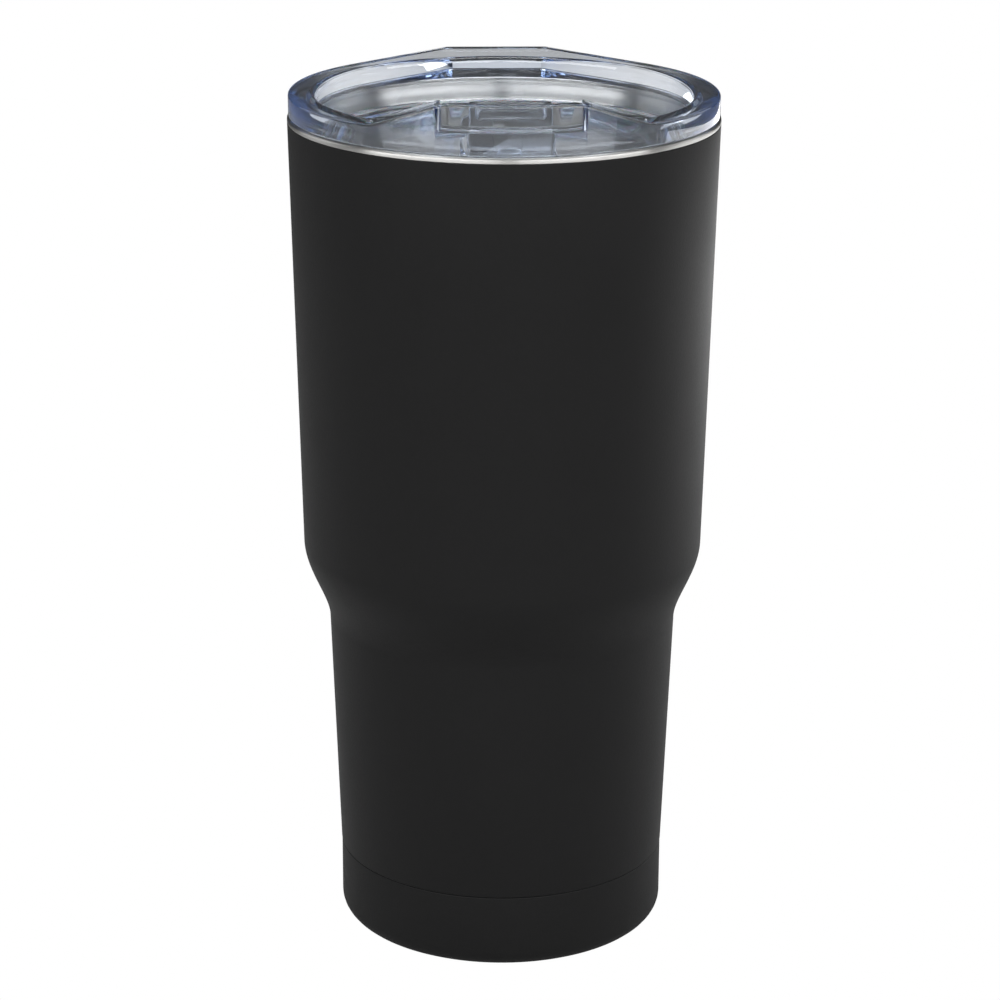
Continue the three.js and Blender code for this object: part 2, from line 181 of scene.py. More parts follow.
class Shader(NodeBench):
    """One material's node tree around a Principled shader."""

    def __init__(self, name: str) -> None:
        """Start a material of this name."""
        self.material = bpy.data.materials.new(name)
        self.material.use_nodes = True
        super().__init__(self.material.node_tree)
        self.tree.nodes.clear()
        self.principled = self.node("ShaderNodeBsdfPrincipled")
        surface = {"Surface": self.principled.outputs[0]}
        self.output = self.node("ShaderNodeOutputMaterial", inputs=surface)

    def set(self, **values: object) -> None:
        """Set or link sockets of the Principled shader, with _ for a space in their names."""
        for key, term in values.items():
            self.feed(self.principled.inputs[key.replace("_", " ")], term)

    def place(self) -> bpy.types.NodeSocket:
        """The Object coordinates."""
        return self.node("ShaderNodeTexCoord").outputs["Object"]

    def parts(self) -> tuple[Value, Value, Value]:
        """The three parts of the Object coordinates."""
        split = self.node("ShaderNodeSeparateXYZ", inputs={"Vector": self.place()})
        return tuple(Value(self.tree, split.outputs[axis]) for axis in "XYZ")

    def noise(
        self,
        scale: float,
        detail: float = 2.0,
        vector: bpy.types.NodeSocket | None = None,
    ) -> Value:
        """Noise over the piece.

        Args:
            scale: Features per metre.
            detail: Octaves of finer noise.
            vector: Coordinates, or None for the Object coordinates.

        Returns:
            A value about one half.
        """
        inputs = {"Vector": vector or self.place(), "Scale": scale, "Detail": detail}
        texture = self.node("ShaderNodeTexNoise", inputs=inputs)
        return Value(self.tree, texture.outputs["Fac"])

    def blend(
        self,
        factor: Value,
        first: Sequence[float],
        second: Sequence[float],
    ) -> bpy.types.NodeSocket:
        """Mix two colours by a value.

        Args:
            factor: 0 for the first colour, 1 for the second.
            first: Linear RGB.
            second: Linear RGB.

        Returns:
            The mixed colour's socket.
        """
        inputs = {"Factor": factor, MIX_FIRST: (*first, 1.0), MIX_SECOND: (*second, 1.0)}
        mix = self.node("ShaderNodeMix", {"data_type": "RGBA", "clamp_factor": True}, inputs)
        return mix.outputs[MIX_RESULT]

    def bump(self, height: Value, distance: float, strength: float) -> bpy.types.NodeSocket:
        """Bump for the Normal socket.

        Args:
            height: The relief, about 0 to 1.
            distance: Depth of the relief in metres.
            strength: Share of it that shows.

        Returns:
            The normal's socket.
        """
        inputs = {"Height": height, "Distance": distance, "Strength": strength}
        return self.node("ShaderNodeBump", inputs=inputs).outputs["Normal"]


# ------------------------------------------------------------------------------------ finishes


@dataclass(frozen=True)
class PowderCoat:
    """Matte black powder coat with its fine even grain."""

    dark: tuple[float, float, float] = (0.0052, 0.0052, 0.0053)
    light: tuple[float, float, float] = (0.0082, 0.0082, 0.0084)
    gloss: float = 0.14
    roughness: float = 0.46
    grain_scale: float = 1700.0
    grain_depth: float = 0.00006
    cloud_scale: float = 60.0

    def make(self) -> bpy.types.Material:
        """Build the material."""
        shader = Shader("powder_coat")
        grain = shader.noise(self.grain_scale, 3.0)
        cloud = shader.noise(self.cloud_scale, 3.0)
        shader.set(
            Base_Color=shader.blend(grain * 0.6 + cloud * 0.4, self.dark, self.light),
            Roughness=self.roughness + grain * 0.1 + cloud * 0.06,
            Specular_IOR_Level=self.gloss,
            Normal=shader.bump(grain, self.grain_depth, 0.35),
        )
        return shader.material


@dataclass(frozen=True)
class SatinSteel:
    """Bare stainless steel brushed round the cup."""

    name: str = "satin_steel"
    dark: tuple[float, float, float] = (0.52, 0.515, 0.50)
    light: tuple[float, float, float] = (0.66, 0.655, 0.64)
    roughness: float = 0.27
    anisotropy: float = 1.0
    stroke_scale: float = 2600.0
    stroke_depth: float = 0.00001
    along_scale: float = 18.0
    cloud_scale: float = 25.0

    def make(self) -> bpy.types.Material:
        """Build the material."""
        shader = Shader(self.name)
        x, y, z = shader.parts()
        radius = (x * x + y * y) ** 0.5
        ring = (z + radius) * self.stroke_scale
        along = {"X": x * self.along_scale, "Y": y * self.along_scale, "Z": ring}
        strokes = shader.node("ShaderNodeCombineXYZ", inputs=along).outputs[0]
        stroke = shader.noise(1.0, 4.0, strokes)
        cloud = shader.noise(self.cloud_scale, 2.0)
        shader.set(
            Base_Color=shader.blend(stroke * 0.7 + cloud * 0.3, self.dark, self.light),
            Metallic=1.0,
            Roughness=self.roughness + stroke * 0.14 + cloud * 0.05,
            Anisotropic=self.anisotropy,
            Anisotropic_Rotation=0.25,
            Normal=shader.bump(stroke, self.stroke_depth, 0.3),
        )
        return shader.material


@dataclass(frozen=True)
class ClearPlastic:
    """Clear glossy copolyester that looks blue-grey through its depth."""

    tint: tuple[float, float, float] = (0.50, 0.61, 0.775)
    density: float = 40.0
    ior: float = 1.55
    roughness: float = 0.012
    flow_scale: float = 70.0
    flow_depth: float = 0.00012
    haze_scale: float = 900.0

    def make(self) -> bpy.types.Material:
        """Build the material."""
        shader = Shader("clear_copolyester")
        flow = shader.noise(self.flow_scale, 1.0)
        haze = shader.noise(self.haze_scale, 2.0)
        shader.set(
            Base_Color=(0.985, 0.992, 1.0, 1.0),
            Roughness=self.roughness + haze * 0.02,
            IOR=self.ior,
            Transmission_Weight=1.0,
            Normal=shader.bump(flow, self.flow_depth, 0.25),
        )
        depth = {"Color": (*self.tint, 1.0), "Density": self.density}
        volume = shader.node("ShaderNodeVolumeAbsorption", inputs=depth)
        shader.feed(shader.output.inputs["Volume"], volume.outputs[0])
        return shader.material


@dataclass(frozen=True)
class Silicone:
    """Translucent satin silicone rubber."""

    dark: tuple[float, float, float] = (0.74, 0.78, 0.80)
    light: tuple[float, float, float] = (0.84, 0.87, 0.89)

    def make(self) -> bpy.types.Material:
        """Build the material."""
        shader = Shader("silicone_rubber")
        cloud = shader.noise(180.0, 3.0)
        dust = shader.noise(2400.0, 2.0)
        shader.set(
            Base_Color=shader.blend(cloud, self.dark, self.light),
            Roughness=0.42 + dust * 0.16,
            IOR=1.41,
            Transmission_Weight=0.35,
            Subsurface_Weight=0.3,
            Subsurface_Scale=0.002,
            Normal=shader.bump(dust, 0.00003, 0.3),
        )
        return shader.material


@dataclass(frozen=True)
class CrinkledFoil:
    """Copper-coloured reflecting foil with fine creases."""

    dark: tuple[float, float, float] = (0.52, 0.25, 0.14)
    light: tuple[float, float, float] = (0.80, 0.48, 0.32)

    def make(self) -> bpy.types.Material:
        """Build the material."""
        shader = Shader("crinkled_copper_foil")
        crease = shader.noise(160.0, 6.0)
        fine = shader.noise(900.0, 3.0)
        shader.set(
            Base_Color=shader.blend(crease, self.dark, self.light),
            Metallic=1.0,
            Roughness=0.22 + fine * 0.2,
            Normal=shader.bump(crease + fine * 0.2, 0.0006, 0.6),
        )
        return shader.material


@dataclass(frozen=True)
class DullMetal:
    """Dull, slightly pitted metal of the small welded-in pieces."""

    name: str
    dark: tuple[float, float, float]
    light: tuple[float, float, float]
    metallic: float
    roughness: float
    grain_scale: float

    def make(self) -> bpy.types.Material:
        """Build the material."""
        shader = Shader(self.name)
        grain = shader.noise(self.grain_scale, 4.0)
        cloud = shader.noise(self.grain_scale * 0.1, 3.0)
        shader.set(
            Base_Color=shader.blend(grain * 0.5 + cloud * 0.5, self.dark, self.light),
            Metallic=self.metallic,
            Roughness=self.roughness + grain * 0.2,
            Normal=shader.bump(grain, 0.0001, 0.4),
        )
        return shader.material


SOLDER = DullMetal("solder_bead", (0.30, 0.31, 0.32), (0.55, 0.56, 0.57), 0.9, 0.3, 2200.0)
GETTER_METAL = DullMetal("getter_powder", (0.05, 0.05, 0.055), (0.16, 0.16, 0.17), 0.4, 0.6, 3200.0)
PRESSED_STEEL = SatinSteel(name="pressed_steel", roughness=0.28, stroke_scale=900.0)


# ------------------------------------------------------------------------------------- profiles


@dataclass(frozen=True)
class Corner:
    """A corner of a turned profile in millimetres, with the radius of its rounding."""

    r: float
    z: float
    fillet: float = 0.0


def rounded(corners: Sequence[Corner], closed: bool = False, steps: int = 4) -> list[Corner]:
    """Replace each rounded corner of a profile by points on an arc.

    Args:
        corners: The profile's corners in order.
        closed: Whether the last corner joins the first.
        steps: Chords in each arc.

    Returns:
        The profile's points.
    """
    points: list[Corner] = []
    count = len(corners)
    for index, corner in enumerate(corners):
        at_end = not closed and index in (0, count - 1)
        if at_end or corner.fillet <= 0:
            points.append(corner)
            continue
        here = Vector((corner.r, corner.z))
        before = corners[index - 1]
        after = corners[(index + 1) % count]
        to_before = Vector((before.r, before.z)) - here
        to_after = Vector((after.r, after.z)) - here
        half = to_before.angle(to_after) / 2
        reach = min(to_before.length, to_after.length) * 0.49
        tangent = min(corner.fillet / math.tan(half), reach)
        radius = tangent * math.tan(half)
        inward = (to_before.normalized() + to_after.normalized()).normalized()
        centre = here + inward * (radius / math.sin(half))
        start = here + to_before.normalized() * tangent - centre
        sweep = start.angle_signed(here + to_after.normalized() * tangent - centre)
        for step in range(steps + 1):
            arm = Matrix.Rotation(-sweep * step / steps, 2) @ start
            points.append(Corner(centre.x + arm.x, centre.y + arm.y))
    return points


@dataclass(frozen=True)
class CupForm:
    """The shape that all the cup's walls share, in millimetres."""

    rim_z: float = 201.0
    rim_r: float = 50.8
    upper_slope: float = 0.0248
    step_top_z: float = 96.9
    step_bottom_z: float = 77.6
    step_bottom_r: float = 42.1
    lower_slope: float = 0.0377
    seam_z: float = 18.6
    sheet: float = 0.8
    wall: float = 4.4
    base_r: float = 39.8
    mouth_r: float = 47.3
    mouth_bottom_z: float = 184.0
    mouth_blend: float = 12.0
    lip_height: float = 1.1
    step_points: int = 28

    def radius(self, z: float) -> float:
        """Outer radius of the shell at a height, with the smooth step at mid-height."""
        top_r = self.rim_r - self.upper_slope * (self.rim_z - self.step_top_z)
        if z >= self.step_top_z:
            return self.rim_r - self.upper_slope * (self.rim_z - z)
        if z <= self.step_bottom_z:
            return self.step_bottom_r - self.lower_slope * (self.step_bottom_z - z)
        height = self.step_top_z - self.step_bottom_z
        t = (z - self.step_bottom_z) / height
        rise = (top_r - self.step_bottom_r) * t * t * (3 - 2 * t)
        run_in = self.lower_slope * height * t * (1 - t) ** 2
        run_out = self.upper_slope * height * t * t * (t - 1)
        return self.step_bottom_r + rise + run_in + run_out

    def wall_points(self, bottom: float, top: float, inset: float) -> list[Corner]:
        """Points of a wall parallel to the shell.

        Args:
            bottom: Lower end's height.
            top: Upper end's height.
            inset: Distance inside the shell's outer surface.

        Returns:
            Points from the bottom up.
        """
        span = self.step_top_z - self.step_bottom_z
        heights = [bottom, (bottom + self.step_bottom_z) / 2]
        heights += [self.step_bottom_z + span * i / self.step_points for i in range(self.step_points + 1)]
        heights += [self.step_top_z + (top - self.step_top_z) * part for part in (0.33, 0.67, 1.0)]
        return [Corner(self.radius(z) - inset, z) for z in heights]


# ---------------------------------------------------------------------------------- bench tools


def clear_bench() -> None:
    """Leave edit mode and deselect everything."""
    if bpy.context.mode != "OBJECT":
        bpy.ops.object.mode_set(mode="OBJECT")
    bpy.ops.object.select_all(action="DESELECT")


def take_up(piece: bpy.types.Object) -> None:
    """Make a piece the only selected and active object."""
    clear_bench()
    piece.select_set(True)
    bpy.context.view_layer.objects.active = piece


def pick_vertices(piece: bpy.types.Object, test: Callable[[Vector], bool]) -> int:
    """Select vertices of a piece in edit mode by their place.

    Args:
        piece: The object in edit mode.
        test: Whether a place in metres is picked.

    Returns:
        How many were picked.
    """
    mesh = bmesh.from_edit_mesh(piece.data)
    mesh.select_mode = {"VERT"}
    picked = 0
    for vertex in mesh.verts:
        vertex.select = test(vertex.co)
        picked += vertex.select
    mesh.select_flush_mode()
    bmesh.update_edit_mesh(piece.data)
    return picked


def pick_edges(piece: bpy.types.Object, test: Callable[[bmesh.types.BMEdge], bool]) -> int:
    """Select edges of a piece in edit mode.

    Args:
        piece: The object in edit mode.
        test: Whether an edge is picked.

    Returns:
        How many were picked.
    """
    bpy.ops.mesh.select_mode(type="EDGE")
    bpy.ops.mesh.select_all(action="DESELECT")
    mesh = bmesh.from_edit_mesh(piece.data)
    picked = 0
    for edge in mesh.edges:
        if test(edge):
            edge.select = True
            picked += 1
    bmesh.update_edit_mesh(piece.data)
    return picked


def finish_mesh(piece: bpy.types.Object, angle: float = SMOOTH_ANGLE) -> bpy.types.Object:
    """Leave edit mode with place applied and shade smooth up to an angle.

    Args:
        piece: The object being worked on.
        angle: Largest angle between faces that still shades smooth.

    Returns:
        The same object.
    """
    take_up(piece)
    bpy.ops.object.transform_apply(location=True, rotation=True, scale=True)
    bpy.ops.object.shade_smooth_by_angle(angle=angle)
    return piece


def turn(name: str, profile: Sequence[Corner], closed: bool = False) -> bpy.types.Object:
    """Turn a profile about the cup's axis: a circle, extruded and resized from point to point.

    Args:
        name: The piece's name.
        profile: Points in millimetres; an open profile starts and ends on the axis.
        closed: Whether the last point joins the first, which makes a ring.

    Returns:
        The turned piece.
    """
    clear_bench()
    points = [Corner(max(point.r, POLE_R), point.z) for point in profile]
    start = points[0]
    bpy.ops.mesh.primitive_circle_add(vertices=SIDES, radius=start.r * MM)
    piece = bpy.context.object
    piece.name = name
    piece.data.name = name
    bpy.ops.object.mode_set(mode="EDIT")
    bpy.ops.mesh.select_all(action="SELECT")
    bpy.ops.transform.translate(value=(0, 0, start.z * MM))
    for here, there in pairwise(points):
        lift = {"value": (0, 0, (there.z - here.z) * MM)}
        bpy.ops.mesh.extrude_region_move(TRANSFORM_OT_translate=lift)
        grow = there.r / here.r
        bpy.ops.transform.resize(value=(grow, grow, 1), center_override=(0, 0, there.z * MM))
    if closed:
        bpy.ops.mesh.select_all(action="DESELECT")
        bpy.ops.mesh.select_non_manifold()
        bpy.ops.mesh.bridge_edge_loops()
    bpy.ops.mesh.select_all(action="SELECT")
    bpy.ops.mesh.remove_doubles(threshold=MERGE * MM)
    bpy.ops.mesh.normals_make_consistent(inside=False)
    return finish_mesh(piece)


def prism(
    name: str,
    x: tuple[float, float],
    y: tuple[float, float],
    z: tuple[float, float],
    corner: float = 0.0,
) -> bpy.types.Object:
    """A block with its upright edges rounded.

    Args:
        name: The piece's name.
        x: Left and right faces in millimetres.
        y: Front and back faces in millimetres.
        z: Bottom and top faces in millimetres.
        corner: Radius of the upright edges.

    Returns:
        The block.
    """
    clear_bench()
    middle = tuple((low + high) / 2 * MM for low, high in (x, y, z))
    bpy.ops.mesh.primitive_cube_add(size=1, location=middle)
    piece = bpy.context.object
    piece.name = name
    piece.scale = tuple((high - low) * MM for low, high in (x, y, z))
    bpy.ops.object.transform_apply(location=True, rotation=True, scale=True)
    if corner > 0:
        bpy.ops.object.mode_set(mode="EDIT")
        pick_edges(piece, lambda edge: abs(edge.verts[0].co.z - edge.verts[1].co.z) > MM * 0.1)
        bpy.ops.mesh.bevel(offset=corner * MM, offset_type="OFFSET", segments=8)
        bpy.ops.object.mode_set(mode="OBJECT")
    return piece


def disc_block(
    name: str,
    radius: float,
    half: float,
    back: float,
    z: tuple[float, float],
    back_corner: float = 0.0,
) -> bpy.types.Object:
    """The front part of a disc between two straight sides and a straight back, made solid.

    Args:
        name: The piece's name.
        radius: The disc's radius in millimetres.
        half: Half of the width between the sides.
        back: The back's Y.
        z: Bottom and top heights.
        back_corner: Radius of the two back corners.

    Returns:
        The solid.
    """
    clear_bench()
    bpy.ops.mesh.primitive_circle_add(vertices=SIDES, radius=radius * MM, fill_type="NGON")
    piece = bpy.context.object
    piece.name = name
    bpy.ops.object.mode_set(mode="EDIT")
    cuts = (((half, 0), (1, 0)), ((-half, 0), (-1, 0)), ((0, back), (0, 1)))
    for (cut_x, cut_y), (normal_x, normal_y) in cuts:
        bpy.ops.mesh.select_all(action="SELECT")
        bpy.ops.mesh.bisect(
            plane_co=(cut_x * MM, cut_y * MM, 0),
            plane_no=(normal_x, normal_y, 0),
            clear_outer=True,
        )
    if back_corner > 0:
        pick_vertices(piece, lambda co: co.y > (back - 0.01) * MM)
        bpy.ops.mesh.bevel(offset=back_corner * MM, segments=8, affect="VERTICES")
    bpy.ops.mesh.select_all(action="SELECT")
    bpy.ops.transform.translate(value=(0, 0, z[0] * MM))
    bpy.ops.mesh.extrude_region_move(TRANSFORM_OT_translate={"value": (0, 0, (z[1] - z[0]) * MM)})
    bpy.ops.mesh.select_all(action="SELECT")
    bpy.ops.mesh.normals_make_consistent(inside=False)
    bpy.ops.object.mode_set(mode="OBJECT")
    return piece


def combine(piece: bpy.types.Object, tool: bpy.types.Object, operation: str) -> None:
    """Join a tool to a piece or cut it away, and remove the tool.

    Args:
        piece: The object that is changed.
        tool: The object that is used up.
        operation: UNION, DIFFERENCE or INTERSECT.
    """
    take_up(piece)
    modifier = piece.modifiers.new("combine", "BOOLEAN")
    modifier.operation = operation
    modifier.solver = "EXACT"
    modifier.object = tool
    bpy.ops.object.modifier_apply(modifier=modifier.name)
    bpy.data.objects.remove(tool)


def soften(piece: bpy.types.Object, width: float, segments: int = 3, angle: float = 40) -> None:
    """Round every edge of a piece that is sharper than an angle.

    Args:
        piece: The object.
        width: Width of the rounding in millimetres.
        segments: Faces across the rounding.
        angle: Smallest angle in degrees that is rounded.
    """
    take_up(piece)
    modifier = piece.modifiers.new("soften", "BEVEL")
    modifier.width = width * MM
    modifier.segments = segments
    modifier.limit_method = "ANGLE"
    modifier.angle_limit = math.radians(angle)
    bpy.ops.object.modifier_apply(modifier=modifier.name)


def dress(
    piece: bpy.types.Object,
    body: Body,
    material: bpy.types.Material,
    nodes: Iterable[str],
) -> None:
    """Give a finished piece its material and body, and hide the CAD nodes that it stands for.

    Args:
        piece: The finished object.
        body: The body it rides on.
        material: Its finish.
        nodes: CAD nodes that it replaces.
    """
    piece.data.materials.clear()
    piece.data.materials.append(material)
    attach(piece, body.value)
    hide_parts(*nodes)
    log.info("%s: %d faces, rides on %s", piece.name, len(piece.data.polygons), body.value)


# ------------------------------------------------------------------------------------------ cup


@dataclass
class Cup:
    """The double-walled steel cup and what its vacuum space holds."""

    form: CupForm = field(default_factory=CupForm)
    seam_gap: float = 0.12
    edge_round: float = 0.25
    base_fillet: float = 4.2
    groove_r: float = 29.0
    groove_half: float = 0.8
    groove_depth: float = 0.4
    liner_floor_z: float = 10.0
    liner_foot_z: float = 20.0
    liner_wall_z: float = 24.0
    liner_fillet: float = 8.0
    mouth_fillet: float = 14.0
    lip_inner_r: float = 48.9
    lip_round: float = 0.5
    foil_z: tuple[float, float] = (24.0, 168.0)
    foil_sheet: float = 0.15
    foil_space: float = 0.5
    pan_gap: float = 0.3
    pan_floor_z: float = 2.6
    pan_top_z: float = 14.0
    pan_hub_r: float = 9.0
    pan_hub_rise: float = 2.0
    exhaust_r: float = 1.6
    bead_half: float = 0.7
    getter_r: float = 5.0
    getter_height: float = 2.0
    getter_x: float = 20.0

    def shell(self) -> bpy.types.Object:
        """Coated outer wall from the seam up to the bare lip."""
        form = self.form
        bottom = form.seam_z + self.seam_gap / 2
        top = form.rim_z - form.lip_height - 0.02
        outer = form.wall_points(bottom, top, 0)
        inner = form.wall_points(bottom, top, form.sheet)
        soft = self.edge_round
        outer[0] = Corner(outer[0].r, outer[0].z, soft)
        outer[-1] = Corner(outer[-1].r, outer[-1].z, soft)
        return turn("outer_shell_coated", rounded(outer + inner[::-1], closed=True), closed=True)

    def base(self) -> bpy.types.Object:
        """Coated bottom piece below the seam."""
        form = self.form
        top = form.seam_z - self.seam_gap / 2
        inner_r = form.base_r - form.sheet
        inner_fillet = self.base_fillet - form.sheet
        corners = [
            Corner(0, 0),
            Corner(self.groove_r - self.groove_half, 0, 0.3),
            Corner(self.groove_r, self.groove_depth, 0.5),
            Corner(self.groove_r + self.groove_half, 0, 0.3),
            Corner(form.base_r, 0, self.base_fillet),
            Corner(form.base_r, top, self.edge_round),
            Corner(inner_r, top),
            Corner(inner_r, form.sheet, inner_fillet),
            Corner(0, form.sheet),
        ]
        return turn("base_cap_coated", rounded(corners, steps=8))

    def liner_wall(self, thickness: float) -> list[Corner]:
        """Corners of the liner from the middle of its floor to the foot of the mouth's seat.

        Args:
            thickness: How far outside the inner surface, in millimetres.

        Returns:
            The corners, from the axis up.
        """
        form = self.form
        inset = form.wall - thickness
        foot_r = form.radius(self.liner_foot_z) - inset - 0.1
        foot_z = self.liner_floor_z - thickness
        foot = Corner(foot_r, foot_z, self.liner_fillet + thickness)
        top = form.mouth_bottom_z - form.mouth_blend
        wall = form.wall_points(self.liner_wall_z, top, inset)
        wall[-1] = Corner(wall[-1].r, wall[-1].z, self.mouth_fillet)
        seat = Corner(form.mouth_r + thickness, form.mouth_bottom_z, self.mouth_fillet)
        return [Corner(0, foot_z), foot, *wall, seat]

    def liner(self) -> bpy.types.Object:
        """Steel inner cup with the rolled lip that covers the shell's top edge."""
        form = self.form
        lip_bottom = form.rim_z - form.lip_height
        corners = [
            *self.liner_wall(0),
            Corner(form.mouth_r, form.rim_z - 3.2, 3.0),
            Corner(self.lip_inner_r, form.rim_z - 0.9, 1.0),
            Corner(self.lip_inner_r + 0.2, form.rim_z, self.lip_round),
            Corner(form.rim_r - 0.02, form.rim_z, self.lip_round),
            Corner(form.rim_r - 0.02, lip_bottom, 0.12),
            Corner(form.mouth_r + form.sheet, lip_bottom, 0.4),
            *self.liner_wall(form.sheet)[::-1],
        ]
        return turn("inner_liner_steel", rounded(corners, steps=6))

    def foil(self) -> bpy.types.Object:
        """Reflecting foil sleeve around the liner."""
        inset = self.form.wall - self.form.sheet - self.foil_space
        bottom, top = self.foil_z
        outer = self.form.wall_points(bottom, top, inset - self.foil_sheet)
        inner = self.form.wall_points(bottom, top, inset)
        return turn("foil_wrap_copper", outer + inner[::-1], closed=True)

    def pan(self) -> bpy.types.Object:
        """Pressed pan that closes the vacuum space."""
        sheet = self.form.sheet
        outer = self.form.base_r - sheet - self.pan_gap
        under = self.pan_floor_z - sheet
        hub_foot = self.pan_hub_r + self.pan_hub_rise
        hub_z = self.pan_floor_z + self.pan_hub_rise
        corners = [
            Corner(self.exhaust_r, hub_z - sheet, 0.15),
            Corner(self.pan_hub_r, hub_z - sheet, 1.0),
            Corner(hub_foot, under, 1.8),
            Corner(outer, under, 3.0),
            Corner(outer, self.pan_top_z, 0.2),
            Corner(outer - sheet, self.pan_top_z, 0.2),
            Corner(outer - sheet, self.pan_floor_z, 2.2),
            Corner(hub_foot, self.pan_floor_z, 1.0),
            Corner(self.pan_hub_r, hub_z, 1.8),
            Corner(self.exhaust_r, hub_z, 0.15),
        ]
        return turn("vacuum_pan_steel", rounded(corners, closed=True, steps=5), closed=True)

    def bead(self) -> bpy.types.Object:
        """Solder bead in the exhaust hole."""
        middle = self.pan_floor_z + self.pan_hub_rise - self.form.sheet / 2
        radius = self.exhaust_r - 0.05
        corners = [
            Corner(0, middle - self.bead_half),
            Corner(radius * 0.8, middle - self.bead_half, 0.5),
            Corner(radius, middle - 0.2, 0.3),
            Corner(radius, middle + 0.2, 0.3),
            Corner(radius * 0.8, middle + self.bead_half, 0.5),
            Corner(0, middle + self.bead_half - 0.05),
        ]
        return turn("seal_bead_solder", rounded(corners))

    def getter(self) -> bpy.types.Object:
        """Pressed getter pellet with a dished top, set beside the hub."""
        bottom = self.pan_floor_z + self.pan_gap
        top = bottom + self.getter_height
        corners = [
            Corner(0, bottom),
            Corner(self.getter_r, bottom, 0.3),
            Corner(self.getter_r, top, 0.5),
            Corner(self.getter_r - 1.4, top, 0.4),
            Corner(self.getter_r - 1.9, top - 0.4, 0.4),
            Corner(0, top - 0.4),
        ]
        piece = turn("getter_pellet_pressed", rounded(corners))
        take_up(piece)
        bpy.ops.transform.translate(value=(self.getter_x * MM, 0, 0))
        return finish_mesh(piece)

    def build(self) -> None:
        """Build and dress every piece of the cup."""
        coating = PowderCoat().make()
        cup = Body.CUP
        dress(self.shell(), cup, coating, ["outer_shell"])
        dress(self.base(), cup, coating, ["base_cap"])
        dress(self.liner(), cup, SatinSteel().make(), ["inner_liner"])
        dress(self.foil(), cup, CrinkledFoil().make(), ["foil_wrap"])
        dress(self.pan(), cup, PRESSED_STEEL.make(), ["vacuum_pan"])
        dress(self.bead(), cup, SOLDER.make(), ["seal_bead"])
        dress(self.getter(), cup, GETTER_METAL.make(), ["getter_pellet"])


# ------------------------------------------------------------------------------------------ lid


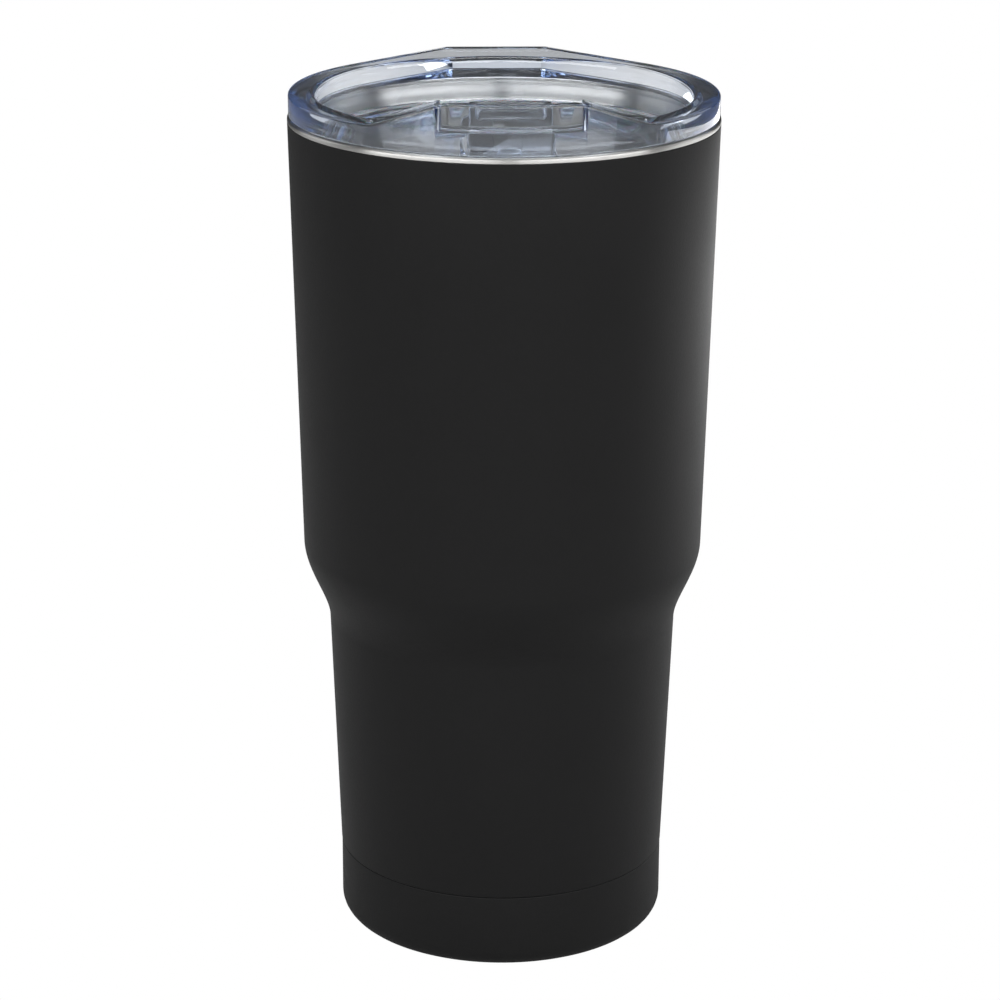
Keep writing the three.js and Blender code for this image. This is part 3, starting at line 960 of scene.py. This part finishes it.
@dataclass
class Lid:
    """The clear press-in lid with its raised drinking side, lift tab and silicone gasket."""

    outer_r: float = 50.5
    bottom_z: float = 201.3
    ring_top_z: float = 206.6
    ring_round: float = 0.7
    inner_corner_r: float = 44.0
    inner_round: float = 2.2
    recess_r: float = 43.1
    recess_round: float = 1.8
    floor_z: float = 195.4
    floor_sheet: float = 2.0
    plug_r: float = 46.0
    plug_wall: float = 3.0
    plug_bottom_z: float = 189.6
    gasket_z: tuple[float, float] = (191.5, 195.5)
    gasket_seat_r: float = 44.6
    gasket_outer_r: float = 47.15
    tab_end_y: float = 59.0
    tab_root_angle: float = math.pi / 4
    spout_rise: float = 6.2
    spout_flat_half: float = 15.6
    spout_foot_half: float = 31.5
    spout_foot_soft: float = 0.06
    spout_shoulder_soft: float = 0.2
    spout_inner_r: float = 43.4
    spout_inner_round: float = 0.7
    spout_wall: float = 2.4
    channel_half: float = 15.7
    channel_back_y: float = -30.0
    channel_floor_z: float = 206.2
    slot_half: float = 8.0
    slot_y: tuple[float, float] = (-41.4, -34.6)
    slit_half: float = 2.6
    slit_back_y: float = -11.6
    cut_round: float = 0.3

    def blank(self) -> bpy.types.Object:
        """The turned body of the lid, before its tab and mouthpiece are drawn out."""
        plug_inner = self.plug_r - self.plug_wall
        under = self.floor_z - self.floor_sheet
        low, high = self.gasket_z
        corners = [
            Corner(0, under),
            Corner(plug_inner, under, 0.8),
            Corner(plug_inner, self.plug_bottom_z, 0.5),
            Corner(self.plug_r - 1.0, self.plug_bottom_z, 0.4),
            Corner(self.plug_r, self.plug_bottom_z + 1.0, 0.4),
            Corner(self.plug_r, low, 0.2),
            Corner(self.gasket_seat_r, low, 0.2),
            Corner(self.gasket_seat_r, high, 0.2),
            Corner(self.plug_r, high, 0.2),
            Corner(self.plug_r, self.bottom_z, 0.5),
            Corner(self.outer_r, self.bottom_z, 0.5),
            Corner(self.outer_r, self.ring_top_z, self.ring_round),
            Corner(self.inner_corner_r, self.ring_top_z, self.inner_round),
            Corner(self.inner_corner_r - 0.2, self.ring_top_z - 2.9),
            Corner(self.recess_r, self.floor_z, self.recess_round),
            Corner(0, self.floor_z),
        ]
        return turn("lid_cover_clear", rounded(corners, steps=5))

    def tab_radius(self, angle: float) -> float:
        """Distance of the lift tab's outline from the axis.

        Args:
            angle: Direction from +X, between the tab's two shoulders.

        Returns:
            The distance in millimetres.
        """
        mirrored = min(angle, math.pi - angle)
        shoulder = self.outer_r / math.cos(mirrored - self.tab_root_angle)
        end = self.tab_end_y / math.sin(mirrored)
        return min(shoulder, end)

    def draw_out_tab(self, piece: bpy.types.Object) -> None:
        """Move the outer wall of the ring out to the tab's outline, column by column."""
        edge = (self.outer_r - self.ring_round - 0.1) * MM
        under = (self.bottom_z - 1) * MM
        beside = 0.2 * MM
        step = 2 * math.pi / SIDES
        first = round(self.tab_root_angle / step)
        columns = range(first, SIDES // 2 - first + 1)
        take_up(piece)
        bpy.ops.object.mode_set(mode="EDIT")
        for column in columns:
            angle = column * step
            out = Vector((math.cos(angle), math.sin(angle), 0))
            reach = self.tab_radius(angle) - self.outer_r
            if reach < 0.01:
                continue
            side = Vector((-out.y, out.x, 0))
            pick_vertices(
                piece,
                lambda co: co.dot(out) > edge and abs(co.dot(side)) < beside and co.z > under,
            )
            bpy.ops.transform.translate(value=out * reach * MM)
        bpy.ops.object.mode_set(mode="OBJECT")

    def spout_share(self, x: float) -> float:
        """How far the mouthpiece has risen at a place across it, from 0 to 1.

        Args:
            x: The place in millimetres.

        Returns:
            The share, ramped with a firm foot and a soft shoulder.
        """
        run = (self.spout_foot_half - abs(x)) / (self.spout_foot_half - self.spout_flat_half)
        foot, shoulder = self.spout_foot_soft, self.spout_shoulder_soft
        if run <= -foot:
            return 0.0
        if run < foot:
            return (run + foot) ** 2 / (4 * foot)
        if run >= 1 + shoulder:
            return 1.0
        if run > 1 - shoulder:
            return 1 - (1 + shoulder - run) ** 2 / (4 * shoulder)
        return run

    def draw_up_spout(self, piece: bpy.types.Object) -> None:
        """Raise the front of the ring into the mouthpiece and close up its inner edge."""
        flat_edge = self.inner_corner_r + self.inner_round
        spout_edge = self.spout_inner_r + self.spout_inner_round
        foot = self.ring_top_z - self.inner_round - 0.75
        for vertex in piece.data.vertices:
            x, y, z = (part / MM for part in vertex.co)
            radius = math.hypot(x, y)
            share = self.spout_share(x)
            if y > 0 or share == 0 or z < foot or radius < self.recess_r + 0.3:
                continue
            target = radius
            if radius < flat_edge:
                squeeze = self.spout_inner_round / self.inner_round
                target = spout_edge - (flat_edge - radius) * squeeze
                z = self.ring_top_z - (self.ring_top_z - z) * (1 - share + share * squeeze)
            closer = min(share * 2.5, 1.0)
            scale = (radius + (target - radius) * closer) / radius
            vertex.co = Vector((x * scale, y * scale, z + self.spout_rise * share)) * MM

    def cut_channel(self, piece: bpy.types.Object) -> None:
        """Cut the channel, the drinking slot and the guide slit."""
        top = self.ring_top_z + self.spout_rise + 2
        tool = disc_block(
            "channel_tool",
            self.outer_r - self.spout_wall,
            self.channel_half,
            self.channel_back_y,
            (self.channel_floor_z, top),
        )
        combine(piece, tool, "DIFFERENCE")
        depth = (self.floor_z - self.floor_sheet - 1, self.floor_z + 1)
        slot = prism("slot_tool", (-self.slot_half, self.slot_half), self.slot_y, depth, 2.0)
        combine(piece, slot, "DIFFERENCE")
        reach = (self.slot_y[1] - 1.0, self.slit_back_y)
        slit = prism("slit_tool", (-self.slit_half, self.slit_half), reach, depth, 0.8)
        combine(piece, slit, "DIFFERENCE")

    def round_cuts(self, piece: bpy.types.Object) -> None:
        """Round the edges that the channel cut left on the mouthpiece, and level its crest."""
        wall_r = (self.outer_r - self.spout_wall) * MM
        side_x = self.channel_half * MM
        low = (self.channel_floor_z - 0.1) * MM

        def on_cut(edge: bmesh.types.BMEdge) -> bool:
            """Whether an edge is a sharp edge of the channel above its floor."""
            if len(edge.link_faces) != 2 or edge.calc_face_angle(0) < math.radians(50):
                return False
            places = [vertex.co for vertex in edge.verts]
            if min(place.z for place in places) < low:
                return False
            on_side = all(abs(abs(place.x) - side_x) < 1e-5 for place in places)
            on_wall = all(abs(place.xy.length - wall_r) < 3e-5 for place in places)
            return on_side or on_wall

        take_up(piece)
        bpy.ops.object.mode_set(mode="EDIT")
        picked = pick_edges(piece, on_cut)
        log.info("rounding %d cut edges", picked)
        bpy.ops.mesh.bevel(offset=self.cut_round * MM, segments=2)
        bpy.ops.object.mode_set(mode="OBJECT")
        crest = (self.ring_top_z + self.spout_rise) * MM
        for vertex in piece.data.vertices:
            vertex.co.z = min(vertex.co.z, crest)

    def cover(self) -> bpy.types.Object:
        """The whole clear moulding."""
        piece = self.blank()
        self.draw_out_tab(piece)
        self.draw_up_spout(piece)
        self.cut_channel(piece)
        self.round_cuts(piece)
        return finish_mesh(piece)

    def gasket(self) -> bpy.types.Object:
        """Silicone ring with two rounded ribs."""
        low = self.gasket_z[0] + 0.15
        high = self.gasket_z[1] - 0.15
        inner = self.gasket_seat_r + 0.1
        body = self.plug_r + 0.1
        rib = self.gasket_outer_r
        corners = [
            Corner(inner, low, 0.2),
            Corner(body, low, 0.2),
            Corner(rib, low + 0.35, 0.3),
            Corner(rib, low + 0.95, 0.3),
            Corner(body, low + 1.4, 0.3),
            Corner(body, high - 1.4, 0.3),
            Corner(rib, high - 0.95, 0.3),
            Corner(rib, high - 0.35, 0.3),
            Corner(body, high, 0.2),
            Corner(inner, high, 0.2),
        ]
        return turn("lid_gasket_silicone", rounded(corners, closed=True), closed=True)

    def build(self, clear: bpy.types.Material) -> None:
        """Build and dress the lid and its gasket.

        Args:
            clear: The clear plastic.
        """
        dress(self.cover(), Body.LID, clear, ["lid_cover"])
        dress(self.gasket(), Body.GASKET, Silicone().make(), ["lid_gasket"])


# --------------------------------------------------------------------------------------- slider


@dataclass
class Slider:
    """The slide closure: plate, thumb grip, stem and the clip that holds it."""

    lid: Lid
    gap: float = 0.3
    thickness: float = 2.6
    half: float = 10.6
    back_y: float = -9.6
    back_corner: float = 3.0
    grip_half: float = 9.2
    grip_y: tuple[float, float] = (-41.6, -34.6)
    grip_top_z: float = 210.8
    grip_corner: float = 1.0
    pocket_bottom_z: float = 206.4
    pocket_wall: float = 1.4
    pocket_corner: float = 1.2
    stem_half: float = 2.3
    stem_y: tuple[float, float] = (-32.4, -26.4)
    clip_sheet: float = 1.6
    clip_half: float = 7.0
    clip_margin: float = 1.8

    def pocket(self) -> bpy.types.Object:
        """Tool that hollows the top of the grip, rounded where its walls meet its bottom."""
        half = self.grip_half - self.pocket_wall
        front, back = self.grip_y
        depth = (front + self.pocket_wall, back - self.pocket_wall)
        above = self.grip_top_z + 3
        tool = prism("pocket_tool", (-half, half), depth, (self.pocket_bottom_z, above))
        soften(tool, self.pocket_corner, 5)
        return tool

    def plate(self) -> bpy.types.Object:
        """The plate with its hollow grip and its stem in one moulding."""
        lid = self.lid
        bottom = lid.floor_z + self.gap
        top = bottom + self.thickness
        radius = lid.recess_r - self.gap
        piece = disc_block("slider_clear", radius, self.half, self.back_y, (bottom, top), self.back_corner)
        sides = (-self.grip_half, self.grip_half)
        grip = prism("grip", sides, self.grip_y, (top - 0.6, self.grip_top_z), self.grip_corner)
        combine(piece, grip, "UNION")
        low = lid.floor_z - lid.floor_sheet - self.gap - self.clip_sheet
        width = (-self.stem_half, self.stem_half)
        combine(piece, prism("stem", width, self.stem_y, (low, bottom + 0.6), 0.5), "UNION")
        combine(piece, self.pocket(), "DIFFERENCE")
        soften(piece, 0.4)
        return finish_mesh(piece)

    def clip(self) -> bpy.types.Object:
        """The clip pushed on the stem under the lid's floor."""
        lid = self.lid
        top = lid.floor_z - lid.floor_sheet - self.gap
        bottom = top - self.clip_sheet
        front, back = self.stem_y
        sides = (-self.clip_half, self.clip_half)
        depth = (front - self.clip_margin, back + self.clip_margin)
        piece = prism("slider_clip_clear", sides, depth, (bottom, top), 3.0)
        hole = self.stem_half + 0.1
        eye = prism("eye", (-hole, hole), (front - 0.1, back + 0.1), (bottom - 1, top + 1), 0.6)
        combine(piece, eye, "DIFFERENCE")
        soften(piece, 0.25, 2)
        return finish_mesh(piece)

    def build(self, clear: bpy.types.Material) -> None:
        """Build and dress the slider and its clip.

        Args:
            clear: The clear plastic.
        """
        dress(self.plate(), Body.SLIDER, clear, ["slider"])
        dress(self.clip(), Body.SLIDER, clear, ["slider_clip"])


# --------------------------------------------------------------------------------------- studio


@dataclass(frozen=True)
class SoftBox:
    """A rectangular soft light set by its direction from the tumbler."""

    name: str
    azimuth: float
    elevation: float
    distance: float
    size: tuple[float, float]
    power: float
    aim_z: float = 0.15

    def hang(self) -> None:
        """Add the light: azimuth 0 is the camera's side and turns towards +X, in degrees."""
        around, up = math.radians(self.azimuth), math.radians(self.elevation)
        level = math.cos(up) * self.distance
        aim = Vector((0, 0, self.aim_z))
        arm = Vector((math.sin(around) * level, -math.cos(around) * level, math.sin(up) * self.distance))
        data = bpy.data.lights.new(self.name, "AREA")
        data.shape = "RECTANGLE"
        data.size, data.size_y = self.size
        data.energy = self.power
        lamp = bpy.data.objects.new(self.name, data)
        bpy.context.scene.collection.objects.link(lamp)
        facing = (-arm).to_track_quat("-Z", "Y")
        lamp.matrix_world = Matrix.Translation(aim + arm) @ facing.to_matrix().to_4x4()


@dataclass
class Studio:
    """Pale floor, soft lights and the camera, with the camera's place in millimetres."""

    camera_distance: float = 753.0
    camera_height: float = 350.3
    camera_turn: float = math.radians(2.1)
    camera_pitch: float = math.radians(17.97)
    camera_yaw: float = -0.0008
    camera_roll: float = 0.0042
    lens: float = 117.25
    sensor: float = 36.0
    light_bounces: int = 40
    surround_strength: float = 0.06
    floor_size: float = 40.0
    floor_glow: float = 1.0
    floor_glow_through_clear: float = 0.8
    boxes: tuple[SoftBox, ...] = (
        SoftBox("front_left_box", -42, 30, 1.3, (1.8, 0.7), 18),
        SoftBox("front_right_box", 42, 30, 1.3, (1.8, 0.7), 18),
        SoftBox("top_box", 180, 80, 1.2, (0.9, 0.5), 6),
        SoftBox("low_right_box", 125, 0, 0.5, (0.7, 0.1), 0.6, 0.05),
        SoftBox("left_rim_box", -120, 25, 1.0, (0.6, 0.8), 1.4),
        SoftBox("right_rim_box", 120, 25, 1.0, (0.6, 0.8), 1.4),
    )

    def camera(self) -> None:
        """Set the camera that looks down on the tumbler from the drinking side."""
        turn_by = Matrix.Rotation(-self.camera_turn, 3, "Z")
        cos_yaw, sin_yaw = math.cos(self.camera_yaw), math.sin(self.camera_yaw)
        cos_pitch, sin_pitch = math.cos(self.camera_pitch), math.sin(self.camera_pitch)
        forward = Vector((sin_yaw * cos_pitch, cos_yaw * cos_pitch, -sin_pitch))
        right = Vector((cos_yaw, -sin_yaw, 0))
        up = right.cross(forward)
        cos_roll, sin_roll = math.cos(self.camera_roll), math.sin(self.camera_roll)
        rolled_right = right * cos_roll + up * sin_roll
        rolled_up = up * cos_roll - right * sin_roll
        axes = Matrix((rolled_right, rolled_up, -forward)).transposed()
        data = bpy.data.cameras.new("camera")
        data.lens = self.lens
        data.sensor_width = self.sensor
        data.clip_start = 0.01
        camera = bpy.data.objects.new("camera", data)
        bpy.context.scene.collection.objects.link(camera)
        place = turn_by @ Vector((0, -self.camera_distance, self.camera_height)) * MM
        camera.matrix_world = Matrix.Translation(place) @ (turn_by @ axes).to_4x4()
        bpy.context.scene.camera = camera

    def floor(self) -> None:
        """Pale floor, white to the camera, paler through clear plastic and grey in reflections."""
        clear_bench()
        bpy.ops.mesh.primitive_plane_add(size=self.floor_size, location=(0, 0, 0))
        floor = bpy.context.object
        floor.name = "studio_floor"
        shader = Shader("pale_floor")
        cloud = shader.noise(3.0, 2.0)
        shader.set(
            Base_Color=shader.blend(cloud, (0.50, 0.50, 0.50), (0.54, 0.54, 0.54)),
            Roughness=0.9,
            Specular_IOR_Level=0.2,
        )
        path = shader.node("ShaderNodeLightPath").outputs
        surface = shader.principled.outputs[0]
        for ray, glow in (
            ("Is Transmission Ray", self.floor_glow_through_clear),
            ("Is Camera Ray", self.floor_glow),
        ):
            surface = self.glow_over(shader, surface, path[ray], glow)
        shader.feed(shader.output.inputs["Surface"], surface)
        floor.data.materials.append(shader.material)

    def glow_over(
        self,
        shader: Shader,
        below: bpy.types.NodeSocket,
        mask: bpy.types.NodeSocket,
        strength: float,
    ) -> bpy.types.NodeSocket:
        """Lay an even glow over a surface where a mask is on.

        Args:
            shader: The material being built.
            below: Surface output that shows where the mask is off.
            mask: Output that is one where the glow shows.
            strength: Brightness of the glow.

        Returns:
            The mixed surface output.
        """
        glow = shader.node("ShaderNodeEmission", inputs={"Strength": strength})
        inputs = {"Fac": mask, 1: below, 2: glow.outputs[0]}
        return shader.node("ShaderNodeMixShader", inputs=inputs).outputs[0]

    def surroundings(self) -> None:
        """A dim even room around the lights, white where the camera sees past the floor."""
        world = bpy.data.worlds.new("surroundings")
        bpy.context.scene.world = world
        world.use_nodes = True
        bench = NodeBench(world.node_tree)
        seen = Value(bench.tree, bench.node("ShaderNodeLightPath").outputs["Is Camera Ray"])
        strength = seen * (self.floor_glow - self.surround_strength) + self.surround_strength
        background = bench.tree.nodes["Background"].inputs
        bench.feed(background["Color"], (1.0, 1.0, 1.0, 1.0))
        bench.feed(background["Strength"], strength)

    def build(self) -> None:
        """Set up the whole studio, with enough light bounces for the clear plastic."""
        self.camera()
        self.floor()
        self.surroundings()
        for box in self.boxes:
            box.hang()
        scene = bpy.context.scene
        scene.view_settings.view_transform = "Standard"
        scene.cycles.max_bounces = self.light_bounces
        scene.cycles.transmission_bounces = self.light_bounces
        scene.cycles.glossy_bounces = self.light_bounces


def main() -> None:
    """Build the studio and every piece, logging each piece's face count."""
    logging.basicConfig(level=logging.INFO, format="%(name)s: %(message)s")
    Studio().build()
    Cup().build()
    clear = ClearPlastic().make()
    lid = Lid()
    lid.build(clear)
    Slider(lid).build(clear)


if __name__ == "__main__":
    main()
